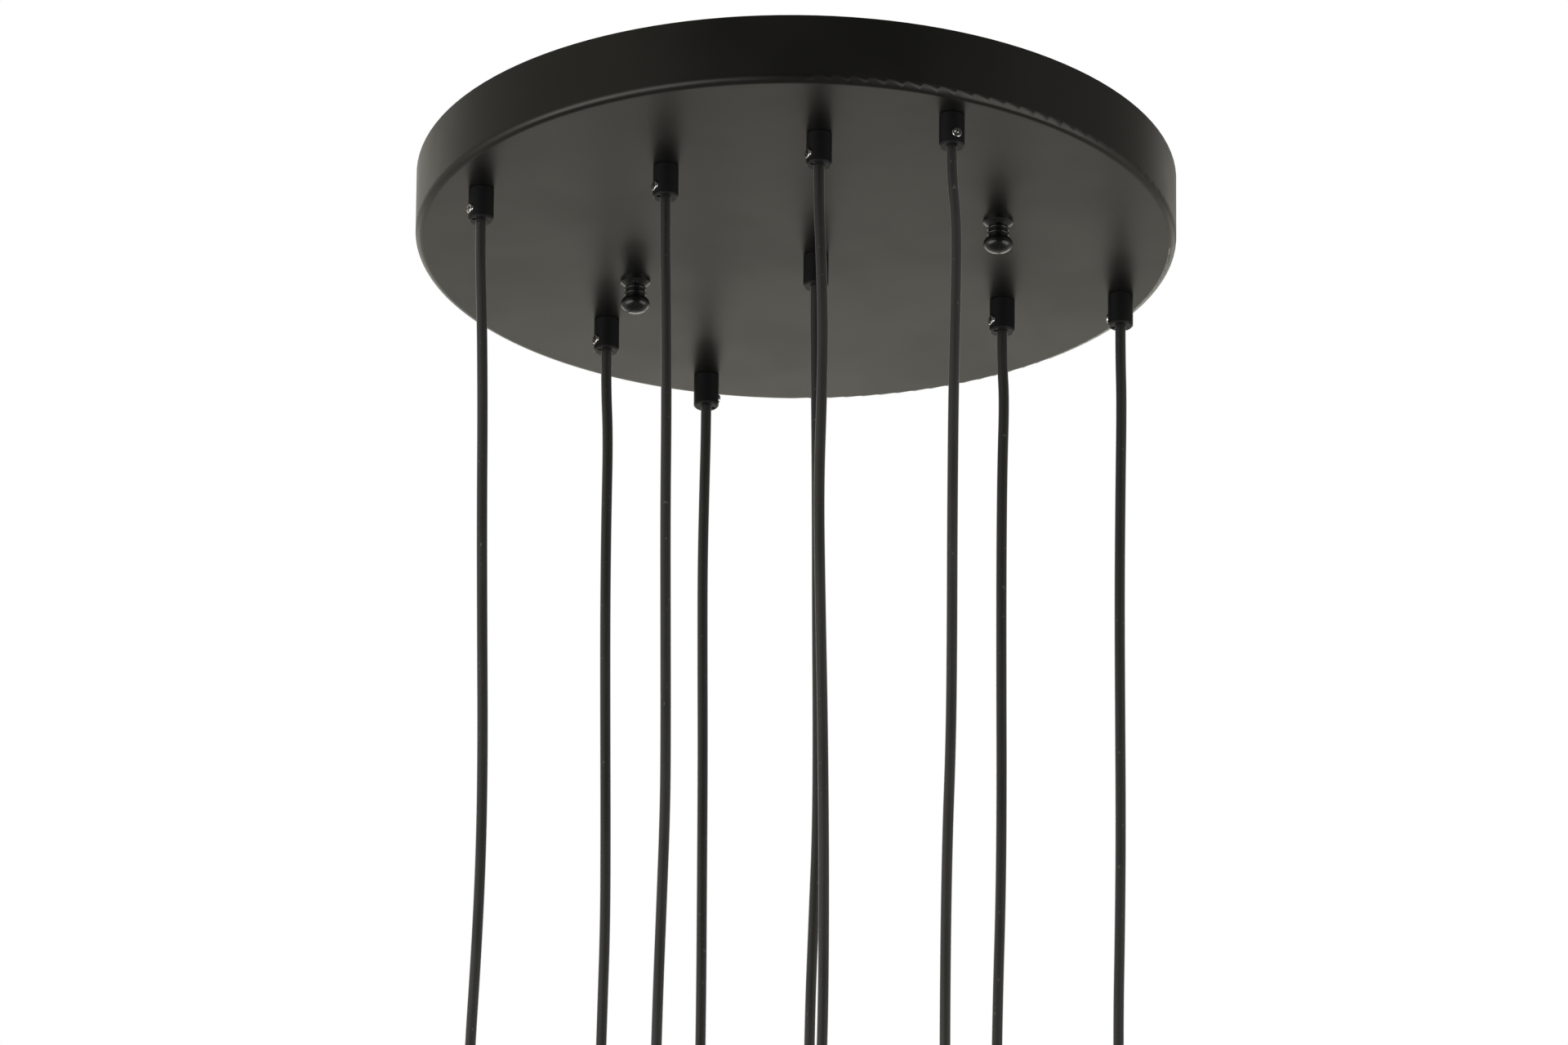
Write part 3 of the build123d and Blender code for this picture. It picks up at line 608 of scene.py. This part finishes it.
def globeProfile(inset):
    neck = lamp["neckRadius"] - inset
    globe = lamp["globeRadius"] - inset
    blend = lamp["blend"] + inset
    across = neck + blend
    rise = sqrt((globe + blend) ** 2 - across**2)
    share = globe / (globe + blend)
    middle = (across, globeCentre + rise)
    touch = (across * share, globeCentre + rise * share)
    outward = 180 + angleOf(middle[0] - touch[0], middle[1] - touch[1])
    lift = angleOf(touch[0], touch[1] - globeCentre)
    points = [(neck, neckTop - lamp["seam"])]
    points += arc(middle, blend, 180, outward, lamp["blendSteps"])
    points += arc((0, globeCentre), globe, lift, lamp["globeEnd"], lamp["globeSteps"])[1:]
    return points + [(0, globeCentre - globe)]


def glassMesh():
    outside = globeProfile(0)
    inside = globeProfile(lamp["wall"])
    return turned("bulbGlass", inside[::-1] + outside, lamp["sides"])


def capMesh():
    radius = lamp["capRadius"]
    thread = radius - lamp["threadInset"]
    threadTop = capTop - lamp["threadStart"]
    contact = lamp["contactRadius"]
    profile = [(0, capTop), (contact, capTop)]
    profile += [(contact + lamp["contactBevel"], capTop - lamp["contactHeight"])]
    profile += [(lamp["insulatorRadius"], capTop - lamp["insulatorHeight"])]
    profile += [(thread, threadTop - lamp["threadRow"] * i) for i in range(lamp["threadRows"])]
    profile += [(radius, neckTop + lamp["cuff"]), (radius, neckTop)]
    profile += [(radius - lamp["lip"], neckTop), (0, neckTop + lamp["dish"])]

    def reach(width, level, turn):
        deep = capTop - level
        threaded = lamp["plainTop"] <= deep <= lamp["capLength"] - lamp["plainFoot"]
        if width < thread - hair or not threaded:
            return width
        wave = cos(2 * pi * level / lamp["threadPitch"] - turn)
        return width - lamp["threadDepth"] * (0.5 - 0.5 * wave)

    return turned("bulbCap", profile, lamp["sides"], radiusAt=reach)


def stemMesh():
    tipCentre = stemTip + stem["tipRise"]
    tip = stem["tipRadius"]
    profile = [(radius, stemFoot - drop) for radius, drop in stem["outline"]]
    profile += arc((0, tipCentre), tip, 20, -90, 6)[:-1]
    profile += [(0, tipCentre - tip)]
    return turned("bulbStem", profile, stem["sides"])


def stickLines():
    lines = []
    for i in range(sticks["count"]):
        turn = 2 * pi * (i + 0.5) / sticks["count"]
        outward = Vector((cos(turn), sin(turn), 0)) * sticks["spread"]
        top = outward + Vector((0, 0, stemTip + sticks["rise"]))
        low = outward * sticks["taper"] + Vector((0, 0, stemTip + sticks["rise"] - sticks["length"]))
        lines.append((top, low))
    return lines


def joinedTubes(name, lines, radius, sides):
    shape = bmesh.new()
    for line in lines:
        skin(shape, tubeRings(shape, line, radius, sides))
    bmesh.ops.recalc_face_normals(shape, faces=shape.faces)
    return finishedMesh(name, shape)


def filamentMesh():
    inset = sticks["inset"]
    lines = [(top.lerp(low, inset), low.lerp(top, inset)) for top, low in stickLines()]
    return joinedTubes("filament", lines, sticks["radius"], sticks["sides"])


def supportMesh():
    hub = Vector((0, 0, stemTip + wires["hub"]))
    overlap = wires["overlap"]
    lines = []
    for top, low in stickLines():
        elbow = hub.lerp(top, wires["elbow"]) + Vector((0, 0, wires["bow"]))
        lines.append([hub, elbow, top, top.lerp(low, overlap)])
        lines.append([low.lerp(top, overlap), low])
    lows = [low for top, low in stickLines()]
    lines.append(lows + lows[:1])
    return joinedTubes("filamentSupports", lines, wires["radius"], wires["sides"])


def fitHeads():
    parts = [
        ("lampholderBody", holderMesh(), "phenolic", "holder_plastic", "lampholder"),
        ("bulbGlass", glassMesh(), "glass", "bulb_glass", "bulb"),
        ("bulbCap", capMesh(), "nickel", "bulb_glass", "bulb"),
        ("bulbStem", stemMesh(), "glass", "bulb_glass", "bulb"),
        ("filament", filamentMesh(), "coating", "bulb_glass", "bulb"),
        ("filamentSupports", supportMesh(), "nickel", "bulb_glass", "bulb"),
    ]
    for number in pendantNumbers:
        low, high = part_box(f"lampholder_{number}")
        spot = ((low.x + high.x) / 2, (low.y + high.y) / 2, high.z)
        for name, mesh, finish, slot, node in parts:
            newPiece(f"{name}{number}", mesh, spot, finish, f"head_{number}", f"{node}_{number}")


fitHeads()
print("lamp heads fitted")


# Studio: white to the eye, pale behind, dim at both sides, and dark at the camera and straight
# down. A span says where a level starts and is full: 0 is square to its way, 1 is along it.
studio = dict(diffuse=0.65, sideLow=0.45, sideHigh=0.22, leftMore=0.07, horizon=(-0.12, 0.12),
              backLow=0.35, backHigh=0.75, backSpan=(0.45, 1.0), front=0.02, frontTurn=10,
              frontSpan=(0.45, 0.90), nadir=0.10, nadirSpan=(0.55, 0.85), over=0.90,
              overSpan=(0.60, 0.90), tone=(1.0, 0.975, 0.88))
floorPlate = dict(height=-21, size=1200, colour=(0.80, 0.80, 0.79), roughness=0.9, specular=0.1,
                  ownLight=0.8)


def studioLight(recipe, direction):
    x, y, z = (
        recipe.node("ShaderNodeSeparateXYZ", {}, {"Vector": direction}, axis) for axis in "XYZ"
    )
    flat = recipe.node("ShaderNodeMath", {"operation": "SQRT"}, {0: x * x + y * y + 0.0001})
    turn = radians(studio["frontTurn"])
    ahead = (x * sin(turn) - y * cos(turn)) / flat
    above = recipe.rise(z, *studio["horizon"])
    side = studio["sideLow"] + above * (studio["sideHigh"] - studio["sideLow"]) - x * studio["leftMore"]
    back = studio["backLow"] + above * (studio["backHigh"] - studio["backLow"])
    level = side + recipe.rise(0 - ahead, *studio["backSpan"]) * (back - side)
    level = level - recipe.rise(ahead, *studio["frontSpan"]) * (level - studio["front"])
    level = level - recipe.rise(0 - z, *studio["nadirSpan"]) * (level - studio["nadir"])
    return level - recipe.rise(z, *studio["overSpan"]) * (level - studio["over"])


def makeWorld():
    world = bpy.data.worlds.new("studio")
    bpy.context.scene.world = world
    world.use_nodes = True
    recipe = Recipe(world.node_tree)
    direction = recipe.node("ShaderNodeTexCoord", {}, {}, "Generated")
    seen = recipe.node("ShaderNodeLightPath", {}, {}, "Is Camera Ray")
    glossy = recipe.node("ShaderNodeLightPath", {}, {}, "Is Glossy Ray")
    through = recipe.node("ShaderNodeLightPath", {}, {}, "Is Transmission Ray")
    white = recipe.node("ShaderNodeMath", {"operation": "MAXIMUM"}, {0: seen, 1: through})
    unlit = 1 - white
    level = white + unlit * (
        glossy * studioLight(recipe, direction) + (1 - glossy) * studio["diffuse"]
    )
    background = world.node_tree.nodes["Background"]
    recipe.feed(background.inputs["Color"], recipe.between(glossy, (1, 1, 1), studio["tone"]))
    recipe.feed(background.inputs["Strength"], level)


def softbox(name, place, aim, size, power, colour):
    data = bpy.data.lights.new(name, "AREA")
    data.shape = "RECTANGLE"
    data.color = colour
    data.size, data.size_y = size
    data.energy = power
    box = bpy.data.objects.new(name, data)
    bpy.context.collection.objects.link(box)
    facing = Vector(aim) - Vector(place)
    box.matrix_world = (
        Matrix.Translation(place) @ facing.to_track_quat("-Z", "Y").to_matrix().to_4x4()
    )
    box.visible_camera = False


softboxes = [
    dict(name="leftSoftbox", place=(-1.25, -0.84, -0.98), aim=(0, 0, 0), size=(1.9, 0.95),
         power=12.5, colour=(1, 1, 1)),
    dict(name="rightSoftbox", place=(1.42, -0.52, -0.98), aim=(0, 0, 0), size=(1.6, 0.95),
         power=8.6, colour=(1, 1, 1)),
    dict(name="backCard", place=(0, 0.95, -0.16), aim=(0, 0, -0.16), size=(1.6, 0.5),
         power=2.7, colour=studio["tone"]),
]


# The floor is nearly as white as the world to the eye, and throws back the studio's own light
def paleFloor():
    material, recipe, shader = newMaterial(
        "paleFloor", {"Roughness": floorPlate["roughness"], "Specular IOR Level": floorPlate["specular"]}
    )
    recipe.feed(shader["Base Color"], floorPlate["colour"])
    spot = recipe.node("ShaderNodeTexCoord", {}, {}, "Object")
    below = recipe.node(
        "ShaderNodeVectorMath", {"operation": "ADD"}, {0: spot, 1: (0, 0, floorPlate["height"])}
    )
    direction = recipe.node("ShaderNodeVectorMath", {"operation": "NORMALIZE"}, {0: below})
    seen = recipe.node("ShaderNodeLightPath", {}, {}, "Is Camera Ray")
    glossy = recipe.node("ShaderNodeLightPath", {}, {}, "Is Glossy Ray")
    through = recipe.node("ShaderNodeLightPath", {}, {}, "Is Transmission Ray")
    plain = seen + through
    level = plain + glossy * studioLight(recipe, direction)
    colour = recipe.between(glossy, (1, 1, 1), studio["tone"])
    white = recipe.node("ShaderNodeEmission", {}, {"Color": colour, "Strength": level})
    output = material.node_tree.nodes["Material Output"]
    surface = Signal(recipe, material.node_tree.nodes["Principled BSDF"].outputs[0])
    share = glossy + plain * floorPlate["ownLight"]
    mixed = recipe.node("ShaderNodeMixShader", {}, {0: share, 1: surface, 2: white})
    recipe.feed(output.inputs["Surface"], mixed)
    return material


def makeStudio():
    makeWorld()
    for box in softboxes:
        softbox(**box)
    shape = bmesh.new()
    bmesh.ops.create_grid(shape, x_segments=1, y_segments=1, size=floorPlate["size"] / 2)
    floor = bpy.data.objects.new("floor", finishedMesh("floor", shape))
    bpy.context.collection.objects.link(floor)
    floor.location = (0, 0, floorPlate["height"])
    floor.data.materials.append(paleFloor())


makeStudio()
bpy.context.scene.view_settings.view_transform = "Standard"
print("studio made")
